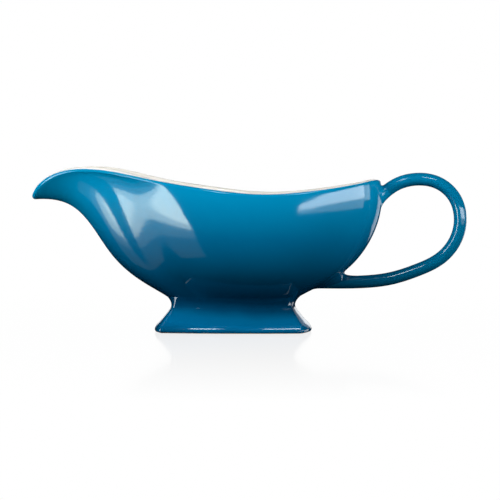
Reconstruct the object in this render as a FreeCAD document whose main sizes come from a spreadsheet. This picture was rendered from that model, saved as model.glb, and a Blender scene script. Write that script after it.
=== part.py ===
import FreeCAD, Part
import math
import os
import Sketcher
from FreeCAD import Vector

# Gravy boat: a beaked stoneware bowl on a flared rectangular pedestal, with a loop handle.
# Millimetres. +X runs from the spout to the handle, Y is the plane of symmetry's normal.
# The outlines are drawn about the pedestal's centre; every piece is then moved by the
# same distance along X, so that the origin lies under the middle of the whole boat.

doc = FreeCAD.newDocument("gravy_boat")

SIZES = {
    "spout_reach": 121.0,      # pedestal centre to the tip of the spout
    "handle_reach": 139.7,     # pedestal centre to the outside of the handle
    "back_reach": 88.4,        # pedestal centre to the back of the rim
    "bowl_width": 92.0,        # across the rim at its widest
    "spout_floor": 79.0,       # height of the spout's underside at its tip
    "crest_height": 98.0,      # highest part of the rim, over the spout
    "waist_height": 83.2,      # lowest part of the rim
    "back_height": 91.6,       # rim at the handle
    "bowl_wall": 3.3,          # clay only
    "liner_coat": 0.5,         # cream glaze inside
    "floor_rise": 3.8,         # clay under the middle of the inside
    "floor_length": 44.0,      # flat middle of the inside
    "floor_width": 18.0,
    "foot_height": 18.5,       # floor to the underside of the bowl
    "neck_length": 72.0,
    "neck_width": 33.0,
    "base_length": 94.0,
    "base_width": 58.0,
    "neck_bow": 2.0,           # how far the neck's long sides bulge
    "base_bow": 4.0,           # how far the base's long sides bulge
    "end_bow": 4.0,            # how far the base's short ends bulge
    "foot_corner": 2.4,        # radius down the pedestal's four corners
    "foot_wall": 4.5,
    "foot_ceiling": 4.0,
    "ring_height": 0.5,        # bare standing ring
    "ring_width": 3.0,
    "ring_inset": 1.0,
    "neck_slip": 2.0,          # height of the slip seam at the neck
    "neck_groove": 0.8,        # how far the seam is wiped in
    "handle_thick": 7.7,       # handle section in the plane of the loop
    "handle_wide": 10.2,       # handle section across the loop
    "upper_spread": 3.6,       # slip fillet round the handle's upper root, along the bowl
    "upper_run": 5.0,          # and out along the handle
    "lower_spread": 7.5,       # the same round the lower root
    "lower_run": 8.0,
}

sheet = doc.addObject("Spreadsheet::Sheet", "Sizes")
for row, (alias, value) in enumerate(SIZES.items(), start=1):
    sheet.set("A%d" % row, alias)
    sheet.set("B%d" % row, str(value))
    sheet.setAlias("B%d" % row, alias)
doc.recompute()


def size(alias):
    return float(sheet.get(alias))


# ---------------------------------------------------------------- bowl surface
# The bowl's skin is one surface, point(turn, rise): turn goes round it from the back
# (0) over the side (90 degrees) to the tip of the spout (180), and rise goes from the
# neck (0) to the rim (1). Each profile gives, at equal steps of rise, the share of the
# way out and the share of the way up that the skin has gone between neck and rim.

KEEL = [(0, 0), (.100, .083), (.225, .184), (.345, .306), (.454, .464),
        (.549, .652), (.638, .816), (.768, .957), (1, 1)]
BACK = [(0, 0), (.205, .086), (.44, .176), (.64, .280), (.79, .402),
        (.896, .530), (.972, .671), (1.012, .833), (1, 1)]
SIDE = [(0, 0), (.276, .066), (.517, .150), (.717, .260), (.862, .397),
        (.959, .550), (1.010, .702), (1.021, .855), (1, 1)]

# Rim stations from the back to the tip: share of the back reach or the spout reach,
# share of the half width, share of the way up from the waist to the back or the crest.
RIM_BACK = [(1.0, 0, 1.0), (.950, .400, .952), (.805, .700, .63), (.553, .905, .24)]
RIM_WAIST = (.215, .985, 0.0)
RIM_SPOUT = [(.100, .940, .195), (.365, .765, .530), (.600, .545, .888), (.785, .425, .965),
             (.908, .330, .68), (.977, .195, .19)]

TURNS = 44                     # points round each ring of the skin
RISES = [0, .05, .125, .25, .375, .5, .625, .75, .86, .94]
NECK_SQUARENESS = 4.0          # power of the superellipse where the bowl meets the neck
STEP = 1e-4                    # difference in turn and rise used to find the skin's slope
SHOULDER_SHARES = (-.66, -.33, 0)
LIP_SHARES = (.2, .4, .6, .8, 1)
COVER = 2                      # height of the full bowl's lid, in crest heights


def spline(points):
    curve = Part.BSplineCurve()
    curve.interpolate(Points=[Vector(*p) for p in points],
                      Parameters=[i / (len(points) - 1) for i in range(len(points))])
    return curve


def profile(shares):
    return spline([(out, up, 0) for out, up in shares])


keel_curve = profile(KEEL)
back_curve = profile(BACK)
side_curve = profile(SIDE)


def lip_radius():
    return (size("bowl_wall") + size("liner_coat")) / 2


def rim_stations():
    """Rim from the back (first) to the tip (last), on the near half."""
    low = size("waist_height") - lip_radius()
    back_rise = size("back_height") - size("waist_height")
    crest_rise = size("crest_height") - size("waist_height")
    back = size("back_reach")
    tip = size("spout_reach") - lip_radius()
    half = size("bowl_width") / 2
    stations = [(x * back, y * half, low + z * back_rise) for x, y, z in RIM_BACK + [RIM_WAIST]]
    stations += [(-x * tip, y * half, low + z * crest_rise) for x, y, z in RIM_SPOUT]
    stations.append((-tip, 0, size("spout_floor")))
    return stations


def rim_curve():
    half = rim_stations()
    loop = half + [(x, -y, z) for x, y, z in reversed(half[1:-1])]
    curve = Part.BSplineCurve()
    curve.interpolate(Points=[Vector(*p) for p in loop], PeriodicFlag=True,
                      Parameters=[i / len(loop) for i in range(len(loop) + 1)])
    return curve


rim = rim_curve()


def neck_point(turn):
    a = size("neck_length") / 2
    b = size("neck_width") / 2
    x = a * math.cos(turn)
    y = b * math.sin(turn)
    reach = (abs(x / a) ** NECK_SQUARENESS + abs(y / b) ** NECK_SQUARENESS) ** (-1 / NECK_SQUARENESS)
    return Vector(x * reach, y * reach, size("foot_height"))


def skin(turn, rise):
    foot = neck_point(turn)
    edge = rim.value((turn / (2 * math.pi)) % 1.0)
    keel = keel_curve.value(rise)
    back = back_curve.value(rise)
    side = side_curve.value(rise)
    toward_tip = (1 - math.cos(turn)) / 2
    toward_back = 1 - toward_tip
    out_x = toward_tip * keel.x + toward_back * back.x
    keel_part = toward_tip ** 2
    back_part = toward_back ** 2
    up = keel_part * keel.y + back_part * back.y + (1 - keel_part - back_part) * side.y
    return Vector(foot.x + (edge.x - foot.x) * out_x,
                  foot.y + (edge.y - foot.y) * side.x,
                  foot.z + (edge.z - foot.z) * up)


def frame_at(turn, rise):
    """Point on the skin, its outward normal and its direction of rise."""
    low = max(rise - STEP, 0)
    high = min(rise + STEP, 1)
    up = skin(turn, high) - skin(turn, low)
    around = skin(turn + STEP, rise) - skin(turn - STEP, rise)
    normal = around.cross(up)
    normal.normalize()
    up.normalize()
    return skin(turn, rise), normal, up


def turns():
    return [2 * math.pi * i / TURNS for i in range(TURNS)]


def closed_wire(points):
    curve = Part.BSplineCurve()
    curve.interpolate(Points=points, PeriodicFlag=True,
                      Parameters=[i / len(points) for i in range(len(points) + 1)])
    return Part.Wire([curve.toShape()])


def skin_ring(rise, depth=0.0):
    """Ring of the skin at one rise, moved inwards by depth."""
    points = []
    for turn in turns():
        point, normal, _ = frame_at(turn, rise)
        points.append(point - normal * depth)
    return closed_wire(points)


def lip_ring(share):
    """Ring on the rounded lip: -1 is its outer side, 0 the glaze line, 1 its inner side."""
    radius = lip_radius()
    points = []
    for turn in turns():
        line = BACK_LINE + (TIP_LINE - BACK_LINE) * (1 - math.cos(turn)) / 2
        angle = math.radians(line * (1 + share) if share < 0 else line + (180 - line) * share)
        point, normal, up = frame_at(turn, 1.0)
        centre = point - normal * radius
        points.append(centre + normal * (radius * math.cos(angle))
                      + up * (radius * math.sin(angle)))
    return closed_wire(points)


def floor_point(turn, height):
    return Vector(size("floor_length") / 2 * math.cos(turn),
                  size("floor_width") / 2 * math.sin(turn), height)


def floor_ring(depth, height, share):
    """Ring on the way from the lowest offset ring (share 0) to the flat middle (share 1)."""
    points = []
    for turn in turns():
        point, normal, _ = frame_at(turn, FLOOR_RISE)
        start = point - normal * depth
        mix = start + (floor_point(turn, height) - start) * share
        points.append(Vector(mix.x, mix.y, height + (start.z - height) * (1 - share) ** 2))
    return closed_wire(points)


def band(wires):
    return Part.makeLoft(wires, False, False).Faces


def solid_from(faces):
    shell = Part.Shell(Part.makeCompound(faces).Faces)
    shell.sewShape()
    solid = Part.Solid(Part.Shell(shell.Faces))
    if solid.Volume < 0:
        solid.reverse()
    return solid


INNER_RISES = [.94, .86, .75, .625, .5, .375]
FLOOR_RISE = .25               # below this ring the inside rounds off into the floor
FLOOR_SHARES = [0, .2, .42, .66, .86, 1]
BACK_LINE = 40                 # where the blue glaze stops on the rounded lip at the back: degrees
TIP_LINE = 95                  # up from its outer side, and the same at the tip of the spout


def inner_wires(depth, extra):
    """Rings down the inside: depth under the skin, extra above the clay floor."""
    height = size("foot_height") + size("floor_rise") + extra
    wires = [skin_ring(rise, depth) for rise in INNER_RISES]
    return wires + [floor_ring(depth, height, share) for share in FLOOR_SHARES]


def bowl_faces():
    clay = size("bowl_wall")
    coat = size("liner_coat")
    outer = [skin_ring(rise) for rise in RISES] + [skin_ring(1.0)]
    shoulder = [outer[-1]] + [lip_ring(share) for share in SHOULDER_SHARES]
    lip = [shoulder[-1]] + [lip_ring(share) for share in LIP_SHARES]
    inner = [lip[-1]] + inner_wires(clay + coat, coat)
    joint = [skin_ring(1.0, clay)] + inner_wires(clay, 0)
    return {
        "underside": [Part.Face(outer[0])],
        "outer": band(outer),
        "shoulder": band(shoulder),
        "lip": band(lip),
        "inner": band(inner) + [Part.Face(inner[-1])],
        "joint": band([lip[0], joint[0]]) + band(joint) + [Part.Face(joint[-1])],
    }


def hull_solid(faces):
    """The bowl as if it were full: the tool that trims what joins its outside."""
    edge = skin_ring(1.0)
    cover = closed_wire([Vector(p.x, p.y, COVER * size("crest_height"))
                         for p in [skin(turn, 1.0) for turn in turns()]])
    return solid_from(faces["outer"] + band([edge, cover]) + [Part.Face(cover)] + faces["underside"])


# ---------------------------------------------------------------- sketches in bodies
def new_body(label):
    body = doc.addObject("PartDesign::Body", label)
    body.Label = label
    return body


def origin_plane(body, role):
    return [f for f in body.Origin.OriginFeatures if f.Role == role][0]


def sketch_on(body, name, role="XY_Plane", height=None):
    """Empty sketch on an origin plane, raised by an expression in the sheet's names."""
    sketch = body.newObject("Sketcher::SketchObject", name)
    sketch.AttachmentSupport = [(origin_plane(body, role), "")]
    sketch.MapMode = "FlatFace"
    if height:
        sketch.setExpression(".AttachmentOffset.Base.z", height)
    return sketch


def bind(sketch, constraint, expression):
    index = sketch.addConstraint(constraint)
    sketch.setExpression("Constraints[%d]" % index, expression)


def number(expression):
    return float(sheet.evalExpression(expression))


def pillow(sketch, length, width, end_bow, side_bow, corner):
    """A rectangle whose four sides bulge, with rounded corners: eight tangent arcs.

    All sizes are expressions; length and width are taken over the bulges.
    """
    half_x = "((%s) / 2)" % length
    half_y = "((%s) / 2)" % width
    chord_x = "(%s - (%s))" % (half_x, end_bow)
    chord_y = "(%s - (%s))" % (half_y, side_bow)
    side_radius = "((%s ^ 2 + (%s) ^ 2) / (2 * (%s)))" % (chord_x, side_bow, side_bow)
    end_radius = "((%s ^ 2 + (%s) ^ 2) / (2 * (%s)))" % (chord_y, end_bow, end_bow)
    side_centre = "(%s - %s)" % (half_y, side_radius)
    end_centre = "(%s - %s)" % (half_x, end_radius)

    # where the arcs start out, so that the sketch is drawn nearly solved
    big, small, r = number(side_radius), number(end_radius), number(corner)
    cy, cx = number(side_centre), number(end_centre)
    span = math.hypot(cx, cy)
    along = ((big - r) ** 2 - (small - r) ** 2 + span ** 2) / (2 * span)
    off = math.sqrt((big - r) ** 2 - along ** 2)
    ux, uy = cx / span, -cy / span
    corner_x = ux * along + uy * off
    corner_y = cy + uy * along - ux * off
    from_side = math.atan2(corner_y - cy, corner_x)
    from_end = math.atan2(corner_y, corner_x - cx)

    def arc(x, y, radius, first, last):
        circle = Part.Circle(Vector(x, y, 0), Vector(0, 0, 1), radius)
        sketch.addGeometry(Part.ArcOfCircle(circle, first, last), False)

    half_turn = math.pi
    arc(cx, 0, small, -from_end, from_end)
    arc(corner_x, corner_y, r, from_end, from_side)
    arc(0, cy, big, from_side, half_turn - from_side)
    arc(-corner_x, corner_y, r, half_turn - from_side, half_turn - from_end)
    arc(-cx, 0, small, half_turn - from_end, half_turn + from_end)
    arc(-corner_x, -corner_y, r, half_turn + from_end, half_turn + from_side)
    arc(0, -cy, big, half_turn + from_side, 2 * half_turn - from_side)
    arc(corner_x, -corner_y, r, 2 * half_turn - from_side, 2 * half_turn - from_end)
    for i in range(8):
        sketch.addConstraint(Sketcher.Constraint("Tangent", i, 2, (i + 1) % 8, 1))
    for i in (1, 3, 5, 7):
        bind(sketch, Sketcher.Constraint("Radius", i, r), corner)
    for i, sign in ((0, ""), (4, "-")):
        sketch.addConstraint(Sketcher.Constraint("PointOnObject", i, 3, -1))
        bind(sketch, Sketcher.Constraint("Radius", i, small), end_radius)
        bind(sketch, Sketcher.Constraint("DistanceX", -1, 1, i, 3, -cx if sign else cx), sign + end_centre)
    for i, sign in ((2, ""), (6, "-")):
        sketch.addConstraint(Sketcher.Constraint("PointOnObject", i, 3, -2))
        bind(sketch, Sketcher.Constraint("Radius", i, big), side_radius)
        bind(sketch, Sketcher.Constraint("DistanceY", -1, 1, i, 3, -cy if sign else cy), sign + side_centre)
    return sketch


def between(low, high, share):
    return "(Sizes.%s + (Sizes.%s - Sizes.%s) * %g)" % (low, high, low, share)


# Pedestal profile from the floor up: share of the height, share of the flare.
FLARE = [(0, .97), (.065, 1.0), (.15, .965), (.36, .72), (.58, .445), (.79, .205), (1.0, .03)]
RECESS = [(0, .90), (.35, .70), (.7, .40), (1, .20)]   # the same for the recess underneath
NECK_END_BOW = 0.3             # bulge of the short ends at the neck against that at the base


def flare_sketch(body, name, height, share, inset="0", corner="Sizes.foot_corner"):
    """One horizontal outline of the pedestal, moved inwards all round by inset."""
    sketch = sketch_on(body, name, height=height)
    length = "%s - 2 * (%s)" % (between("neck_length", "base_length", share), inset)
    width = "%s - 2 * (%s)" % (between("neck_width", "base_width", share), inset)
    end_bow = "Sizes.end_bow * %g" % (NECK_END_BOW + (1 - NECK_END_BOW) * share)
    side_bow = between("neck_bow", "base_bow", share)
    return pillow(sketch, length, width, end_bow, side_bow, corner)


def make_foot():
    body = new_body("foot")
    span = "(Sizes.foot_height - Sizes.neck_slip - Sizes.ring_height)"
    sections = [flare_sketch(body, "outside_%d" % i, "Sizes.ring_height + %s * %g" % (span, up), out)
                for i, (up, out) in enumerate(FLARE)]
    loft = body.newObject("PartDesign::AdditiveLoft", "pedestal")
    loft.Profile = sections[0]
    loft.Sections = sections[1:]
    hollow_span = "(%s - Sizes.foot_ceiling)" % span
    hollows = [flare_sketch(body, "inside_%d" % i, "Sizes.ring_height + %s * %g" % (hollow_span, up), out,
                            "Sizes.foot_wall")
               for i, (up, out) in enumerate(RECESS)]
    hollow = body.newObject("PartDesign::SubtractiveLoft", "recess")
    hollow.Profile = hollows[0]
    hollow.Sections = hollows[1:]
    return body


def make_foot_ring():
    body = new_body("foot_ring")
    outside = flare_sketch(body, "ring_outside", "0", FLARE[0][1], "Sizes.ring_inset")
    pad = body.newObject("PartDesign::Pad", "ring")
    pad.Profile = outside
    pad.setExpression("Length", "Sizes.ring_height")
    inside = flare_sketch(body, "ring_inside", "0", FLARE[0][1], "Sizes.ring_inset + Sizes.ring_width")
    pocket = body.newObject("PartDesign::Pocket", "ring_opening")
    pocket.Profile = inside
    pocket.Reversed = True
    pocket.setExpression("Length", "Sizes.ring_height")
    return body


def make_neck_luting():
    body = new_body("neck_luting")
    base = "Sizes.foot_height - Sizes.neck_slip"
    seam = [(0, "0"), (.5, "Sizes.neck_groove"), (1, "0")]
    sections = [flare_sketch(body, "seam_%d" % i, "%s + Sizes.neck_slip * %g" % (base, up), FLARE[-1][1], inset)
                for i, (up, inset) in enumerate(seam)]
    loft = body.newObject("PartDesign::AdditiveLoft", "seam")
    loft.Profile = sections[0]
    loft.Sections = sections[1:]
    return body


# ---------------------------------------------------------------- handle
# Centre line of the loop from its upper root round to its lower root. Shares run from the
# back of the rim (0) to the outside of the loop (1) along X, and from the floor (0) to
# the rim's back (1) up.
LOOP = [(-.19, .808), (.01, .893), (.20, .963), (.455, .996), (.72, .972), (.925, .879),
        (1.0, .744), (.946, .606), (.760, .484), (.455, .402), (.12, .347), (-.21, .326),
        (-.54, .322), (-.90, .322)]


def loop_curve():
    """Centre line of the loop; its X and Y are the boat's X and Z."""
    start = size("back_reach")
    reach = size("handle_reach") - size("handle_thick") / 2 - start
    curve = Part.BSplineCurve()
    curve.interpolate([Vector(start + x * reach, z * size("back_height"), 0) for x, z in LOOP])
    return curve


def make_loop():
    body = new_body("loop")
    route = sketch_on(body, "loop_route", "XZ_Plane")
    route.addGeometry(loop_curve(), False)
    section = body.newObject("Sketcher::SketchObject", "loop_section")
    section.AttachmentSupport = [(route, "Edge1")]
    section.MapMode = "NormalToEdge"
    section.MapPathParameter = 0
    half_wide = size("handle_wide") / 2
    half_thick = size("handle_thick") / 2
    section.addGeometry(Part.Ellipse(Vector(0, 0, 0), half_wide, half_thick), False)
    section.exposeInternalGeometry(0)
    section.addConstraint(Sketcher.Constraint("Coincident", 0, 3, -1, 1))
    section.addConstraint(Sketcher.Constraint("Horizontal", 1))
    bind(section, Sketcher.Constraint("Distance", 1, 2 * half_wide), "Sizes.handle_wide")
    bind(section, Sketcher.Constraint("Distance", 2, 2 * half_thick), "Sizes.handle_thick")
    pipe = body.newObject("PartDesign::AdditivePipe", "loop_pipe")
    pipe.Profile = section
    pipe.Spine = (route, ["Edge1"])
    return body


def loop_frame(curve, place):
    """Centre and in-plane normal of the loop at one place along its curve."""
    centre = curve.value(place)
    along = curve.tangent(place)[0]
    return Vector(centre.x, 0, centre.y), Vector(-along.y, 0, along.x)


def loop_point(curve, place, angle, grow=0.0):
    """Point on the loop's surface, or grow outside it."""
    centre, normal = loop_frame(curve, place)
    wide = size("handle_wide") / 2 + grow
    thick = size("handle_thick") / 2 + grow
    return centre + Vector(0, wide * math.cos(angle), 0) + normal * (thick * math.sin(angle))


COLLAR_SIDES = 24
PROUD = 0.15                   # height of the slip's feathered edge
ROOT_DEPTH = 1.2               # how far the collar's blank reaches into the bowl's wall
CROOK = 0.5                    # how much fuller the slip is in the crook of the loop
CORE_DEPTH = 2.0               # how far the blank's core starts inside the bowl
CORE_PAST = 1.0                # and how far it ends past the feathered edge
CORE_SHRINK = (-0.5, -1.0)     # size of the core's two ends against the loop's section
ROOT_PULL = 0.4                # how closely the fillet follows the corner it fills
BISECTIONS = 14
TOLERANCE = 1e-4               # how near the bowl's skin still counts as inside it
ROOT_SEARCH = 0.2              # share of the loop's length in which each root is looked for


def crossing(curve, hull, angle, inside, outside):
    """Place along the curve where one line of the loop's surface leaves the bowl."""
    for _ in range(BISECTIONS):
        middle = (inside + outside) / 2
        if hull.isInside(loop_point(curve, middle, angle), TOLERANCE, True):
            inside = middle
        else:
            outside = middle
    return (inside + outside) / 2


def loop_ring(curve, place, grow):
    angles = [2 * math.pi * i / COLLAR_SIDES for i in range(COLLAR_SIDES)]
    return closed_wire([loop_point(curve, place, angle, grow) for angle in angles])


def collar_solid(hull, wall, inside, outside, spread, run):
    """Concave fillet of slip between the bowl and the end of the loop that lies inside it."""
    curve = loop_curve()
    toward = 1 if outside > inside else -1
    edge_pull = (1 - ROOT_PULL) / 2
    places = []
    buried, base, middle, top = [], [], [], []
    for i in range(COLLAR_SIDES):
        angle = 2 * math.pi * i / COLLAR_SIDES
        fuller = 1 - CROOK * math.sin(angle)
        place = crossing(curve, hull, angle, inside, outside)
        places.append(place)
        speed = curve.getD1(place)[1].Length
        root = loop_point(curve, place, angle)
        tip = loop_point(curve, place + toward * run * fuller / speed, angle, PROUD)
        away = loop_point(curve, place, angle, spread * fuller)
        rest = wall.distToShape(Part.Vertex(away))[1][0][0]
        normal = wall.normalAt(*wall.Surface.parameter(rest))
        buried.append(rest - normal * ROOT_DEPTH)
        base.append(rest + normal * PROUD)
        middle.append(base[-1] * edge_pull + root * ROOT_PULL + tip * edge_pull)
        top.append(tip)
    nearest = min(places, key=lambda place: toward * place)
    furthest = max(places, key=lambda place: toward * place)
    speed = curve.getD1(nearest)[1].Length
    reach = run * (1 + CROOK) + CORE_PAST
    deep = loop_ring(curve, nearest - toward * CORE_DEPTH / speed, CORE_SHRINK[0])
    high = loop_ring(curve, furthest + toward * reach / speed, CORE_SHRINK[1])
    rings = [closed_wire(points) for points in (buried, base, middle, top)]
    return solid_from([Part.Face(deep), Part.Face(high)] + band([deep, rings[0]]) + band(rings[:2])
                      + band(rings[1:]) + band([rings[3], high]))


# ---------------------------------------------------------------- assembly
CENTRE = "(Sizes.spout_reach - Sizes.handle_reach) / 2"


def shaped(label, shape):
    feature = doc.addObject("Part::Feature", label)
    feature.Label = label
    feature.Shape = shape
    return feature


def trimmed(label, base, tool):
    cut = doc.addObject("Part::Cut", label)
    cut.Label = label
    cut.Base = base
    cut.Tool = tool
    return cut


def build():
    faces = bowl_faces()
    bowl = shaped("bowl", solid_from(faces["underside"] + faces["outer"] + faces["shoulder"]
                                     + faces["joint"]))
    liner = shaped("liner_glaze", solid_from(faces["lip"] + faces["inner"] + faces["joint"]))
    hull = shaped("hull", hull_solid(faces))
    loop = make_loop()
    handle = trimmed("handle", loop, hull)
    doc.recompute()

    wall = faces["outer"][0]
    length = loop_curve().LastParameter
    collars = []
    for root, inside, outside in (("upper", 0, length * ROOT_SEARCH),
                                  ("lower", length, length * (1 - ROOT_SEARCH))):
        blank = collar_solid(hull.Shape, wall, inside, outside,
                             size(root + "_spread"), size(root + "_run"))
        ring = blank.cut(hull.Shape).cut(loop.Shape)
        collars.append(shaped("handle_%s_luting" % root, max(ring.Solids, key=lambda solid: solid.Volume)))
    return [bowl, liner, make_foot(), make_foot_ring(), make_neck_luting(), handle] + collars


pieces = build()
for piece in pieces:
    piece.setExpression("Placement.Base.x", CENTRE)
doc.recompute()

for item in doc.Objects:
    if "Invalid" in item.State or "Error" in item.State:
        raise RuntimeError("%s did not recompute: %s" % (item.Label, item.State))
for piece in pieces:
    if piece.Shape.isNull() or not piece.Shape.isValid() or len(piece.Shape.Solids) != 1:
        raise RuntimeError("%s is not one valid solid" % piece.Label)

os.makedirs("parts", exist_ok=True)
for piece in pieces:
    piece.Shape.exportStep("parts/%s.step" % piece.Label)
    box = piece.Shape.optimalBoundingBox(False)
    print("%-22s %9.1f mm3  x %6.1f %6.1f  y %5.1f %5.1f  z %5.1f %5.1f" % (
        piece.Label, piece.Shape.Volume, box.XMin, box.XMax, box.YMin, box.YMax, box.ZMin, box.ZMax))
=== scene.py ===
import math

import bmesh
import bpy
import numpy as np
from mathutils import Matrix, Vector
from mathutils.bvhtree import BVHTree


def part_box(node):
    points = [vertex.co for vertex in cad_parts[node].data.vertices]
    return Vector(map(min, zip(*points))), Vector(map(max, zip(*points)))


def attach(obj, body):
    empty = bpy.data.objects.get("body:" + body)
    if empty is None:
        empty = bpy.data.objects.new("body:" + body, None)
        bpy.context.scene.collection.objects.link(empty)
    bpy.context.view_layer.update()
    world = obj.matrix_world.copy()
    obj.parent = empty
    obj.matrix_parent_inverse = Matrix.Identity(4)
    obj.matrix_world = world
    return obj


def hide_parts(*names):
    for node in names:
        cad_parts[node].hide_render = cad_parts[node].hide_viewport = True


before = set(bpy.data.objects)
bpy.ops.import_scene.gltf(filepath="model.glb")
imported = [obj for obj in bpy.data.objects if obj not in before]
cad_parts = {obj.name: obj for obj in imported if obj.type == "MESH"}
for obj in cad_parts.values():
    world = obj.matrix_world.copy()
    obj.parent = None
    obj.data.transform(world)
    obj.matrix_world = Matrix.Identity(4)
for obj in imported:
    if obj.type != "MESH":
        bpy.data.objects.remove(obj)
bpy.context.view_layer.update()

# ---------------------------------------------------------------- sizes, in metres
foot_low, foot_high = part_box("foot")
bowl_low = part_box("bowl")[0]
ring_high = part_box("foot_ring")[1]

CENTRE_X = (.1210 - .1397) / 2                 # the pedestal's centre
NECK_Z = bowl_low.z                            # underside of the bowl
SPOUT_REACH = .12098
HANDLE_REACH = .13966
BACK_REACH = .0884
HALF_WIDTH = .04597
SPOUT_FLOOR = .0790
CREST = .09798
WAIST = .0832
BACK_TOP = .0916
WALL = .0038                                   # clay and liner together
COAT = .0005
LIP = WALL / 2
NECK_A = .036
NECK_B = .0165
NECK_SQUARENESS = 4                            # power of the neck's superellipse
STEP = 1e-4                                    # difference used to find a slope

# Shares of the way out and up between the neck and the rim, at equal steps of rise.
KEEL = [(0, 0), (.100, .083), (.225, .184), (.345, .306), (.454, .464),
        (.549, .652), (.638, .816), (.768, .957), (1, 1)]
BACK = [(0, 0), (.205, .086), (.44, .176), (.64, .280), (.79, .402),
        (.896, .530), (.972, .671), (1.012, .833), (1, 1)]
SIDE = [(0, 0), (.276, .066), (.517, .150), (.717, .260), (.862, .397),
        (.959, .550), (1.010, .702), (1.021, .855), (1, 1)]
RIM_BACK = [(1.0, 0, 1.0), (.950, .400, .952), (.805, .700, .63), (.553, .905, .24)]
RIM_WAIST = (.215, .985, 0.0)
RIM_SPOUT = [(.100, .940, .195), (.365, .765, .530), (.600, .545, .888), (.785, .425, .965),
             (.908, .330, .68), (.977, .195, .19)]
LOOP = [(-.19, .808), (.01, .893), (.20, .963), (.455, .996), (.72, .972), (.925, .879),
        (1.0, .744), (.946, .606), (.760, .484), (.455, .402), (.12, .347), (-.21, .326),
        (-.54, .322), (-.90, .322)]
FLARE = [(0, .97), (.065, 1.0), (.15, .965), (.36, .72), (.58, .445), (.79, .205), (1.0, .03)]


class Spline:
    """Smooth curve through points at equal steps, or at the chord lengths between them."""

    def __init__(self, points, closed=False, by_length=False):
        p = np.asarray(points, float)
        if closed:
            p = np.vstack([p, p[:1]])
        n = len(p)
        steps = np.ones(n - 1)
        if by_length:
            steps = np.linalg.norm(np.diff(p, axis=0), axis=1)
        self.t = np.concatenate([[0], np.cumsum(steps)])
        self.t /= self.t[-1]
        h = np.diff(self.t)
        slope = np.diff(p, axis=0) / h[:, None]
        a = np.zeros((n, n))
        b = np.zeros_like(p)
        for i in range(1, n - 1):
            a[i, i - 1], a[i, i], a[i, i + 1] = h[i], 2 * (h[i - 1] + h[i]), h[i - 1]
            b[i] = 3 * (h[i] * slope[i - 1] + h[i - 1] * slope[i])
        if closed:
            a[0, 0], a[0, 1], a[0, n - 2] = 2 * (h[-1] + h[0]), h[-1], h[0]
            b[0] = 3 * (h[0] * slope[-1] + h[-1] * slope[0])
            a[-1, 0], a[-1, -1] = 1, -1
        else:
            for end, k in ((0, slice(0, 4)), (n - 1, slice(n - 4, n))):
                fit = np.polyfit(self.t[k] - self.t[end], p[k], 3)
                a[end, end] = 1
                b[end] = fit[2]
        self.p, self.m = p, np.linalg.solve(a, b)

    def __call__(self, t):
        t = np.asarray(t, float)
        i = np.clip(np.searchsorted(self.t, t, side="right") - 1, 0, len(self.t) - 2)
        h = (self.t[i + 1] - self.t[i])[..., None]
        s = (t - self.t[i])[..., None] / h
        p0, p1, m0, m1 = self.p[i], self.p[i + 1], self.m[i] * h, self.m[i + 1] * h
        return ((2 * s**3 - 3 * s**2 + 1) * p0 + (s**3 - 2 * s**2 + s) * m0
                + (3 * s**2 - 2 * s**3) * p1 + (s**3 - s**2) * m1)


# ---------------------------------------------------------------- the bowl's skin
def rim_points():
    low = WAIST - LIP
    tip = SPOUT_REACH - LIP
    near = [(x * BACK_REACH, y * HALF_WIDTH, low + z * (BACK_TOP - WAIST))
            for x, y, z in RIM_BACK + [RIM_WAIST]]
    near += [(-x * tip, y * HALF_WIDTH, low + z * (CREST - WAIST)) for x, y, z in RIM_SPOUT]
    near.append((-tip, 0, SPOUT_FLOOR))
    return near + [(x, -y, z) for x, y, z in reversed(near[1:-1])]


rim = Spline(rim_points(), closed=True)
keel, back, side = Spline(KEEL), Spline(BACK), Spline(SIDE)


def neck_outline(turn):
    x, y = NECK_A * np.cos(turn), NECK_B * np.sin(turn)
    reach = (np.abs(x / NECK_A) ** NECK_SQUARENESS
             + np.abs(y / NECK_B) ** NECK_SQUARENESS) ** (-1 / NECK_SQUARENESS)
    return np.stack([x * reach, y * reach, np.full_like(x, NECK_Z)], -1)


def skin(turn, rise):
    """Points of the bowl's outside; turn and rise are arrays that go together."""
    turn, rise = np.broadcast_arrays(np.asarray(turn, float), np.asarray(rise, float))
    foot = neck_outline(turn)
    edge = rim((turn / (2 * math.pi)) % 1.0)
    k, b, s = keel(rise), back(rise), side(rise)
    to_tip = (1 - np.cos(turn)) / 2
    to_back = 1 - to_tip
    out = to_tip * k[..., 0] + to_back * b[..., 0]
    up = to_tip**2 * k[..., 1] + to_back**2 * b[..., 1] + (1 - to_tip**2 - to_back**2) * s[..., 1]
    share = np.stack([out, s[..., 0], up], -1)
    return foot + (edge - foot) * share


def skin_frame(turn, rise):
    turn, rise = np.broadcast_arrays(np.asarray(turn, float), np.asarray(rise, float))
    up = skin(turn, np.minimum(rise + STEP, 1)) - skin(turn, np.maximum(rise - STEP, 0))
    sideways = skin(turn + STEP, rise) - skin(turn - STEP, rise)
    normal = np.cross(sideways, up)
    normal /= np.linalg.norm(normal, axis=-1, keepdims=True)
    up = up / np.linalg.norm(up, axis=-1, keepdims=True)
    return skin(turn, rise), normal, up


TURNS = 288
turns = 2 * math.pi * np.arange(TURNS) / TURNS


def offset_ring(rise, depth=0.0):
    point, normal, _ = skin_frame(turns, rise)
    return point - normal * depth


BACK_LINE, TIP_LINE = 40, 95                   # where the blue stops on the lip, in degrees


def lip_ring(share):
    """Round the lip: -1 is its outer side, 0 the line where the blue stops, 1 its inner side."""
    point, normal, up = skin_frame(turns, 1.0)
    line = BACK_LINE + (TIP_LINE - BACK_LINE) * (1 - np.cos(turns)) / 2
    angle = np.radians(line * (1 + share) if share < 0 else line + (180 - line) * share)[:, None]
    return point - normal * LIP + LIP * (normal * np.cos(angle) + up * np.sin(angle))


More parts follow.
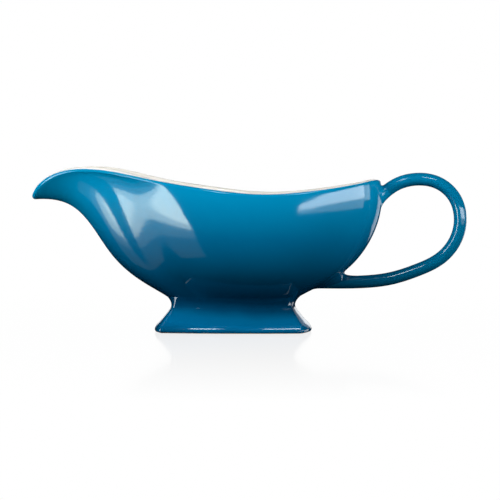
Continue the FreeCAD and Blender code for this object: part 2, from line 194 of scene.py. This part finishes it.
FLOOR_RISE = .25
FLOOR_A, FLOOR_B, FLOOR_UP = .022, .009, .0038
GLAZE_GAP = .00005                             # keeps the clay's inside clear of the glaze


def floor_ring(depth, height, share):
    start = offset_ring(FLOOR_RISE, depth)
    goal = np.stack([FLOOR_A * np.cos(turns), FLOOR_B * np.sin(turns), np.full(TURNS, height)], -1)
    mix = start + (goal - start) * share
    mix[:, 2] = height + (start[:, 2] - height) * (1 - share) ** 2
    return mix


def inner_rings(depth, extra):
    height = NECK_Z + FLOOR_UP + extra
    rings = [offset_ring(rise, depth) for rise in np.linspace(.97, FLOOR_RISE, 46)]
    rings += [floor_ring(depth, height, share) for share in np.linspace(0, 1, 17)[1:]]
    rings += [rings[-1] * [k, k, 1] for k in (.66, .33, .1)]
    return rings


# ---------------------------------------------------------------- mesh building
def shift(points):
    return np.asarray(points) + [CENTRE_X, 0, 0]


def grid_object(name, rings, sharp_rows=(), wrap=False):
    """Closed piece from rings of equal length: quads between rings and a cap at each end.

    With wrap, the last ring joins the first instead, and there are no caps.
    """
    rings = [shift(r) for r in rings]
    n = len(rings[0])
    mesh = bpy.data.meshes.new(name)
    verts = np.vstack(rings)
    faces = []
    count = len(rings)
    last = count if wrap else count - 1
    for i in range(last):
        a, b = i * n, ((i + 1) % count) * n
        for j in range(n):
            k = (j + 1) % n
            faces.append((a + j, a + k, b + k, b + j))
    if not wrap:
        faces.append(tuple(reversed(range(n))))
        faces.append(tuple(range((count - 1) * n, count * n)))
    mesh.from_pydata(verts.tolist(), [], faces)
    bm = bmesh.new()
    bm.from_mesh(mesh)
    bmesh.ops.recalc_face_normals(bm, faces=bm.faces)
    bm.verts.ensure_lookup_table()
    sharp = set(sharp_rows)
    for e in bm.edges:
        rows = {v.index // n for v in e.verts}
        if len(rows) == 1 and rows <= sharp:
            e.smooth = False
    for f in bm.faces:
        f.smooth = True
    bm.to_mesh(mesh)
    bm.free()
    obj = bpy.data.objects.new(name, mesh)
    bpy.context.scene.collection.objects.link(obj)
    return obj


def make_bowl():
    outer = [offset_ring(r) for r in np.linspace(0, 1, 73)]
    shoulder = [lip_ring(share) for share in (-.8, -.6, -.4, -.2, 0)]
    clay = WALL - COAT + GLAZE_GAP
    inside = [offset_ring(1.0, clay)] + inner_rings(clay, -GLAZE_GAP)
    rings = outer + shoulder + inside
    edge = len(outer) + len(shoulder) - 1
    return grid_object("bowl_body", rings, (0, edge, edge + 1))


def make_liner():
    lip = [lip_ring(share) for share in np.linspace(0, 1, 16)]
    inside = inner_rings(WALL, COAT)
    clay = WALL - COAT
    hidden = [offset_ring(1.0, clay)] + inner_rings(clay, 0)
    rings = inside[::-1] + lip[::-1] + hidden
    edge = len(inside) + len(lip) - 1
    return grid_object("liner_body", rings, (edge, edge + 1))


bowl = make_bowl()
liner = make_liner()


# ---------------------------------------------------------------- pedestal
def pillow(length, width, end_bow, side_bow, corner, z):
    """Outline with bulging sides and rounded corners; always the same number of points."""
    a, b = length / 2, width / 2
    ca, cb = a - end_bow, b - side_bow
    big = (ca**2 + side_bow**2) / (2 * side_bow)
    small = (cb**2 + end_bow**2) / (2 * end_bow)
    cy, cx = b - big, a - small
    span = math.hypot(cx, cy)
    along = ((big - corner)**2 - (small - corner)**2 + span**2) / (2 * span)
    off = math.sqrt((big - corner)**2 - along**2)
    ux, uy = cx / span, -cy / span
    kx, ky = ux * along + uy * off, cy + uy * along - ux * off
    t_side = math.atan2(ky - cy, kx)
    t_end = math.atan2(ky, kx - cx)
    quarter = [(cx, 0, small, 0, t_end, 14), (kx, ky, corner, t_end, t_side, 12),
               (0, cy, big, t_side, math.pi / 2, 26)]
    points = []
    for x, y, r, first, last, n in quarter:
        for i in range(n):
            t = first + (last - first) * i / n
            points.append((x + r * math.cos(t), y + r * math.sin(t)))
    points.append((0, b))
    q = np.array(points)
    left = q[::-1][1:] * [-1, 1]
    top = np.vstack([q, left])
    bottom = top[::-1][1:-1] * [1, -1]
    ring = np.vstack([top, bottom])
    return np.column_stack([ring, np.full(len(ring), z)])


BASE_L, BASE_W = .094, .058
NECK_L, NECK_W = .072, .033
NECK_BOW, BASE_BOW, END_BOW = .0020, .0040, .0040
CORNER = .0024
FOOT_Z0, FOOT_Z1 = foot_low.z, foot_high.z
FOOT_WALL, FOOT_CEILING = .0045, .0040
RECESS = [(0, .90), (.35, .70), (.7, .40), (1, .20)]
NECK_END_BOW = .3                              # bulge of the ends at the neck against the base
RING_INSET, RING_WIDTH = .0010, .0030
RING_BEVEL = .0003
flare = Spline(FLARE, by_length=True)


def flare_ring(z, out, inset=0.0):
    return pillow(NECK_L + (BASE_L - NECK_L) * out - 2 * inset,
                  NECK_W + (BASE_W - NECK_W) * out - 2 * inset,
                  END_BOW * (NECK_END_BOW + (1 - NECK_END_BOW) * out),
                  NECK_BOW + (BASE_BOW - NECK_BOW) * out, CORNER, z)


def foot_profile(t):
    up, out = flare(t)
    return FOOT_Z0 + (FOOT_Z1 - FOOT_Z0) * up, out


def make_foot():
    rings = [flare_ring(*foot_profile(t)) for t in np.linspace(0, 1, 60)]
    top = FOOT_Z1 - FOOT_CEILING
    hollow = Spline(RECESS)
    inside = []
    for t in np.linspace(1, 0, 24):
        up, out = hollow(t)
        inside.append(flare_ring(FOOT_Z0 + (top - FOOT_Z0) * up, out, FOOT_WALL))
    rings = inside + rings
    return grid_object("foot_body", rings, (0, len(inside) - 1, len(inside), len(rings) - 1))


def make_ring():
    outer, inner = RING_INSET, RING_INSET + RING_WIDTH
    section = [(ring_high.z, inner), (RING_BEVEL, inner), (0, inner - RING_BEVEL),
               (0, outer + RING_BEVEL), (RING_BEVEL, outer), (ring_high.z, outer)]
    rings = [flare_ring(z, FLARE[0][1], inset) for z, inset in section]
    return grid_object("standing_ring", rings, range(len(rings)), wrap=True)


foot = make_foot()
ring = make_ring()


SEAM_START = .90                               # where the seam starts on the pedestal's profile
SEAM_END = .055                                # and the rise at which it ends on the bowl


def make_seam():
    """Slip fillet between the bowl's underside and the pedestal."""
    z, out = foot_profile(SEAM_START)
    low = flare_ring(z, out)
    angle = np.arctan2(low[:, 1] / NECK_B, low[:, 0] / NECK_A)
    high = skin(angle, SEAM_END)
    pinch = flare_ring((FOOT_Z1 + NECK_Z) / 2, FLARE[-1][1])
    rows = []
    for t in np.linspace(0, 1, 17):
        rows.append(low * (1 - t)**2 + pinch * 2 * t * (1 - t) + high * t**2)
    core = [flare_ring(NECK_Z + .0004, FLARE[-1][1], .003), flare_ring(z, out, .004)]
    rings = rows + core
    return grid_object("neck_seam", rings, (0, 16, 17, 18), wrap=True)


seam = make_seam()

# ---------------------------------------------------------------- handle
WIDE, THICK = .0051, .00385
loop_reach = HANDLE_REACH - THICK - BACK_REACH
loop = Spline([(BACK_REACH + x * loop_reach, 0, z * BACK_TOP) for x, z in LOOP], by_length=True)


def loop_points(place, angle, grow=0.0):
    place, angle = np.broadcast_arrays(np.asarray(place, float), np.asarray(angle, float))
    centre = loop(place)
    along = loop(np.minimum(place + STEP, 1)) - loop(np.maximum(place - STEP, 0))
    along /= np.linalg.norm(along, axis=-1, keepdims=True)
    normal = np.stack([-along[..., 2], np.zeros(place.shape), along[..., 0]], -1)
    grow = np.asarray(grow, float)
    wide = (WIDE + grow) * np.cos(angle)
    thick = (THICK + grow) * np.sin(angle)
    return centre + normal * thick[..., None] + np.stack([0 * wide, wide, 0 * wide], -1)


def skin_tree():
    verts = np.vstack([offset_ring(r) for r in np.linspace(0, 1, 121)])
    faces = [(i * TURNS + j, i * TURNS + (j + 1) % TURNS, (i + 1) * TURNS + (j + 1) % TURNS,
              (i + 1) * TURNS + j) for i in range(120) for j in range(TURNS)]
    return BVHTree.FromPolygons(verts.tolist(), faces)


BISECTIONS = 22
tree = skin_tree()


def outside_skin(point):
    near, normal, _, _ = tree.find_nearest(Vector(point))
    return (Vector(point) - near).dot(normal) > 0


def crossing(angle, inside, outside):
    """Place on the loop where one line of its surface leaves the bowl."""
    for _ in range(BISECTIONS):
        middle = (inside + outside) / 2
        if outside_skin(loop_points(middle, angle)):
            outside = middle
        else:
            inside = middle
    return (inside + outside) / 2


SIDES = 64
ROOT_DEPTH = .0012                             # how far the handle's ends reach into the wall
CROOK = .5                                     # how much wider the slip is in the loop's crook
angles = 2 * math.pi * np.arange(SIDES) / SIDES
upper_cross = np.array([crossing(a, 0.0, .14) for a in angles])
lower_cross = np.array([crossing(a, 1.0, .80) for a in angles])
length = sum(np.linalg.norm(np.diff(loop(np.linspace(0, 1, 400)), axis=0), axis=1))


def make_handle():
    rows = []
    bury = ROOT_DEPTH / length
    for t in np.linspace(0, 1, 181):
        place = (upper_cross - bury) * (1 - t) + (lower_cross + bury) * t
        rows.append(loop_points(place, angles))
    return grid_object("handle_body", rows, (0, 180))


def make_collar(name, crosses, toward, spread, run):
    fuller = 1 - CROOK * np.sin(angles)
    root = loop_points(crosses, angles)
    top = loop_points(crosses + toward * run * fuller / length, angles)
    away = loop_points(crosses, angles, spread * fuller)
    base = np.array([tree.find_nearest(Vector(p))[0] for p in away])
    rows = []
    for t in np.linspace(0, 1, 17):
        rows.append(base * (1 - t)**2 + root * 2 * t * (1 - t) + top * t**2)
    centre = loop(crosses - toward * .0010 / length)
    rows.append(root * .5 + centre * .5)
    return grid_object(name, rows, (0, 16, 17), wrap=True)


handle = make_handle()
upper = make_collar("handle_upper_slip", upper_cross, 1, .0036, .0050)
lower = make_collar("handle_lower_slip", lower_cross, -1, .0075, .0080)


# ---------------------------------------------------------------- materials
def new_material(name):
    material = bpy.data.materials.new(name)
    material.use_nodes = True
    nodes, links = material.node_tree.nodes, material.node_tree.links
    nodes.clear()
    output = nodes.new("ShaderNodeOutputMaterial")
    shader = nodes.new("ShaderNodeBsdfPrincipled")
    links.new(shader.outputs[0], output.inputs[0])
    return material, nodes, links, shader


def noise(nodes, links, coords, scale, detail=2.0, rough=.5):
    n = nodes.new("ShaderNodeTexNoise")
    n.inputs["Scale"].default_value = scale
    n.inputs["Detail"].default_value = detail
    n.inputs["Roughness"].default_value = rough
    links.new(coords, n.inputs["Vector"])
    return n.outputs["Fac"]


def ramp(nodes, links, value, stops):
    r = nodes.new("ShaderNodeValToRGB")
    elements = r.color_ramp.elements
    while len(elements) < len(stops):
        elements.new(.5)
    for e, (position, colour) in zip(elements, stops):
        e.position = position
        e.color = (*colour, 1)
    links.new(value, r.inputs["Fac"])
    return r.outputs["Color"]


def srgb(r, g, b):
    return tuple(c / 255 / 12.92 if c <= 10 else ((c / 255 + .055) / 1.055) ** 2.4
                 for c in (r, g, b))


def blue_glaze(name, stops):
    material, nodes, links, shader = new_material(name)
    coords = nodes.new("ShaderNodeTexCoord").outputs["Object"]
    split = nodes.new("ShaderNodeSeparateXYZ")
    links.new(coords, split.inputs[0])
    drift = noise(nodes, links, coords, 14, 3)
    wobble = nodes.new("ShaderNodeMath")
    wobble.operation = "MULTIPLY_ADD"
    links.new(drift, wobble.inputs[0])
    wobble.inputs[1].default_value = .014
    links.new(split.outputs["Z"], wobble.inputs[2])
    height = nodes.new("ShaderNodeMapRange")
    height.inputs["From Min"].default_value = 0
    height.inputs["From Max"].default_value = .1
    links.new(wobble.outputs[0], height.inputs["Value"])
    colour = ramp(nodes, links, height.outputs["Result"], stops)
    links.new(colour, shader.inputs["Base Color"])
    shader.inputs["Specular Tint"].default_value = (.85, .95, 1, 1)
    fine = noise(nodes, links, coords, 420, 2)
    rough = nodes.new("ShaderNodeMapRange")
    rough.inputs["To Min"].default_value = .05
    rough.inputs["To Max"].default_value = .10
    links.new(noise(nodes, links, coords, 60, 2), rough.inputs["Value"])
    links.new(rough.outputs["Result"], shader.inputs["Roughness"])
    bump = nodes.new("ShaderNodeBump")
    bump.inputs["Strength"].default_value = .03
    bump.inputs["Distance"].default_value = .0004
    links.new(fine, bump.inputs["Height"])
    links.new(bump.outputs["Normal"], shader.inputs["Normal"])
    return material


def cream_glaze():
    material, nodes, links, shader = new_material("cream_glaze")
    coords = nodes.new("ShaderNodeTexCoord").outputs["Object"]
    colour = ramp(nodes, links, noise(nodes, links, coords, 30, 4), [
        (.3, srgb(250, 247, 238)), (.7, srgb(254, 252, 246))])
    links.new(colour, shader.inputs["Base Color"])
    rough = nodes.new("ShaderNodeMapRange")
    rough.inputs["To Min"].default_value = .08
    rough.inputs["To Max"].default_value = .14
    links.new(noise(nodes, links, coords, 80, 2), rough.inputs["Value"])
    links.new(rough.outputs["Result"], shader.inputs["Roughness"])
    return material


def bare_clay():
    material, nodes, links, shader = new_material("bare_stoneware")
    coords = nodes.new("ShaderNodeTexCoord").outputs["Object"]
    colour = ramp(nodes, links, noise(nodes, links, coords, 900, 4, .7), [
        (.3, srgb(176, 150, 120)), (.7, srgb(214, 194, 166))])
    links.new(colour, shader.inputs["Base Color"])
    shader.inputs["Roughness"].default_value = .85
    bump = nodes.new("ShaderNodeBump")
    bump.inputs["Strength"].default_value = .4
    bump.inputs["Distance"].default_value = .0002
    links.new(noise(nodes, links, coords, 1500, 3), bump.inputs["Height"])
    links.new(bump.outputs["Normal"], shader.inputs["Normal"])
    return material


# Share of the height from 0 to 100 mm, and the glaze's colour there. The body's ramp is darker
# towards the bottom: partly the glaze's own tone, partly painted shade on the bowl's underside
# above the neck and at the foot's base, with a painted lighter band on the foot's upward slope.
BODY_TONE_AND_SHADE_STOPS = [(0, srgb(0, 38, 60)), (.05, srgb(0, 60, 90)), (.12, srgb(0, 100, 148)),
              (.165, srgb(0, 94, 138)), (.21, srgb(0, 62, 96)), (.25, srgb(0, 48, 78)),
              (.34, srgb(0, 60, 92)), (.62, srgb(0, 106, 152)), (.9, srgb(0, 147, 198))]
HANDLE_STOPS = [(.25, srgb(0, 66, 98)), (.5, srgb(0, 108, 148)), (.95, srgb(0, 126, 172))]
# the body's glaze carries painted shade low down and a painted lighter band on the foot
blue = blue_glaze("blue_glaze", BODY_TONE_AND_SHADE_STOPS)
handle_blue = blue_glaze("blue_glaze_handle", HANDLE_STOPS)
cream, clay = cream_glaze(), bare_clay()
for piece, node, material, slot in ((bowl, "bowl", blue, "blue_glaze"),
                                    (liner, "liner_glaze", cream, "cream_glaze"),
                                    (foot, "foot", blue, "blue_glaze"),
                                    (ring, "foot_ring", clay, "bare_stoneware"),
                                    (seam, "neck_luting", blue, "blue_glaze"),
                                    (handle, "handle", handle_blue, "blue_glaze"),
                                    (upper, "handle_upper_luting", blue, "blue_glaze"),
                                    (lower, "handle_lower_luting", blue, "blue_glaze")):
    piece.data.materials.append(material)
    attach(piece, "root")
    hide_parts(node)

# ---------------------------------------------------------------- floor, light and camera
FLOOR_HALF = 4.0
POLISH = .17                                   # how strongly the floor mirrors under the foot
POLISH_REACH = .50                             # where the polish has faded out


def stage_plane(name, corners, material):
    mesh = bpy.data.meshes.new(name)
    mesh.from_pydata(corners, [], [(0, 1, 2, 3)])
    mesh.materials.append(material)
    obj = bpy.data.objects.new(name, mesh)
    bpy.context.scene.collection.objects.link(obj)
    obj.visible_diffuse = False
    obj.visible_shadow = False
    return obj


def glow_material(name, strength):
    material = bpy.data.materials.new(name)
    material.use_nodes = True
    nodes, links = material.node_tree.nodes, material.node_tree.links
    nodes.clear()
    output = nodes.new("ShaderNodeOutputMaterial")
    light = nodes.new("ShaderNodeEmission")
    light.inputs["Color"].default_value = (1, 1, 1, 1)
    light.inputs["Strength"].default_value = strength
    links.new(light.outputs[0], output.inputs[0])
    return material, nodes, links, light, output


def floor_material():
    """Overexposed white, with a polish that fades away from under the boat."""
    material, nodes, links, light, output = glow_material("white_floor", 1.0)
    gloss = nodes.new("ShaderNodeBsdfGlossy")
    gloss.inputs["Roughness"].default_value = .08
    away = nodes.new("ShaderNodeVectorMath")
    away.operation = "LENGTH"
    links.new(nodes.new("ShaderNodeTexCoord").outputs["Object"], away.inputs[0])
    fade = nodes.new("ShaderNodeMapRange")
    fade.inputs["From Min"].default_value = .05
    fade.inputs["From Max"].default_value = POLISH_REACH
    fade.inputs["To Min"].default_value = POLISH
    fade.inputs["To Max"].default_value = 0
    links.new(away.outputs["Value"], fade.inputs["Value"])
    mix = nodes.new("ShaderNodeMixShader")
    links.new(fade.outputs["Result"], mix.inputs["Fac"])
    links.new(light.outputs[0], mix.inputs[1])
    links.new(gloss.outputs[0], mix.inputs[2])
    links.new(mix.outputs[0], output.inputs[0])
    return material


f = FLOOR_HALF
floor = stage_plane("studio_floor", [(-f, -f, 0), (f, -f, 0), (f, f, 0), (-f, f, 0)],
                    floor_material())
floor.visible_glossy = False
card = stage_plane("studio_card", [(-.6, 2.4, 0), (.6, 2.4, 0), (.6, 2.4, .7), (-.6, 2.4, .7)],
                   glow_material("white_card", 1.2)[0])
card.visible_camera = False


def around(azimuth, distance, height):
    """Place at an azimuth seen from the boat: 0 toward -Y, 90 toward +X."""
    turn = math.radians(azimuth)
    return Vector((distance * math.sin(turn), -distance * math.cos(turn), height))


def softbox(name, place, aim, width, height, radiance, mirrored=True, lit=True,
            colour=(1, 1, 1)):
    light = bpy.data.lights.new(name, "AREA")
    light.shape = "RECTANGLE"
    light.size, light.size_y = width, height
    light.energy = radiance * math.pi * width * height
    light.color = colour
    obj = bpy.data.objects.new(name, light)
    obj.location = place
    obj.rotation_euler = (Vector(aim) - Vector(place)).to_track_quat("-Z", "Y").to_euler()
    obj.visible_camera = False
    obj.visible_glossy = mirrored              # seen in the glaze
    obj.visible_diffuse = lit                  # lights the surface itself
    bpy.context.scene.collection.objects.link(obj)
    return obj


middle = Vector((0, 0, .07))
for name, low, high, radiance in (("left_high", .03, 1.25, 10), ("left_mid", -.37, .03, 12),
                                  ("left_low", -.44, -.37, 7), ("left_dim", -.56, -.44, 1.2),
                                  ("left_faint", -1.0, -.56, .4)):
    z = (low + high) / 2
    softbox(name, around(-57, 1.3, z), (0, 0, z), .52, high - low, radiance, lit=low > 0,
            colour=(1, 1, 1) if low > 0 else (1, .97, .80))
for name, near, far, low, high, radiance in (("right_wall_high", -3.1, 0, .06, .27, 9),
                                             ("right_wall_low", -3.1, 0, -.05, .06, 2),
                                             ("right_wall_end", 0, .27, .03, .24, 3)):
    y, z = (near + far) / 2, (low + high) / 2
    softbox(name, (1.0, y, z), (0, y, z), far - near, high - low, radiance)
softbox("back_right_low", around(147, 1.6, -.10), middle, .48, .48, 1.0)
softbox("back_right_high", around(165, 1.6, .33), middle, .45, .36, .35)
softbox("front_left", around(-17, 1.0, 1.2), middle, .22, .26, 16, lit=False)
softbox("front_right", around(20, 1.0, 1.2), middle, .40, .22, 16, lit=False)
softbox("fill", around(-10, 1.4, 1.3), middle, 1.4, 1.0, 1.9, mirrored=False)
softbox("rear_fill", around(172, 1.6, 1.1), middle, 1.4, 1.0, 2.4, mirrored=False)

world = bpy.data.worlds.new("studio")
world.use_nodes = True
world.node_tree.nodes["Background"].inputs["Color"].default_value = (1, 1, 1, 1)
world.node_tree.nodes["Background"].inputs["Strength"].default_value = 1.0
bpy.context.scene.world = world
world.cycles_visibility.glossy = False
world.cycles_visibility.diffuse = False
bpy.context.scene.view_settings.view_transform = "Standard"

AZIMUTH = math.radians(3.0)
DISTANCE = 1.85
EYE_HEIGHT = .112
AIM = Vector((.0007, 0, .0487))
camera = bpy.data.objects.new("camera", bpy.data.cameras.new("camera"))
camera.location = (AIM.x + DISTANCE * math.sin(AZIMUTH), -DISTANCE * math.cos(AZIMUTH), EYE_HEIGHT)
camera.rotation_euler = (AIM - camera.location).to_track_quat("-Z", "Y").to_euler()
camera.data.sensor_width = 36
camera.data.lens = 222.2
camera.data.clip_end = 20
bpy.context.scene.collection.objects.link(camera)
bpy.context.scene.camera = camera
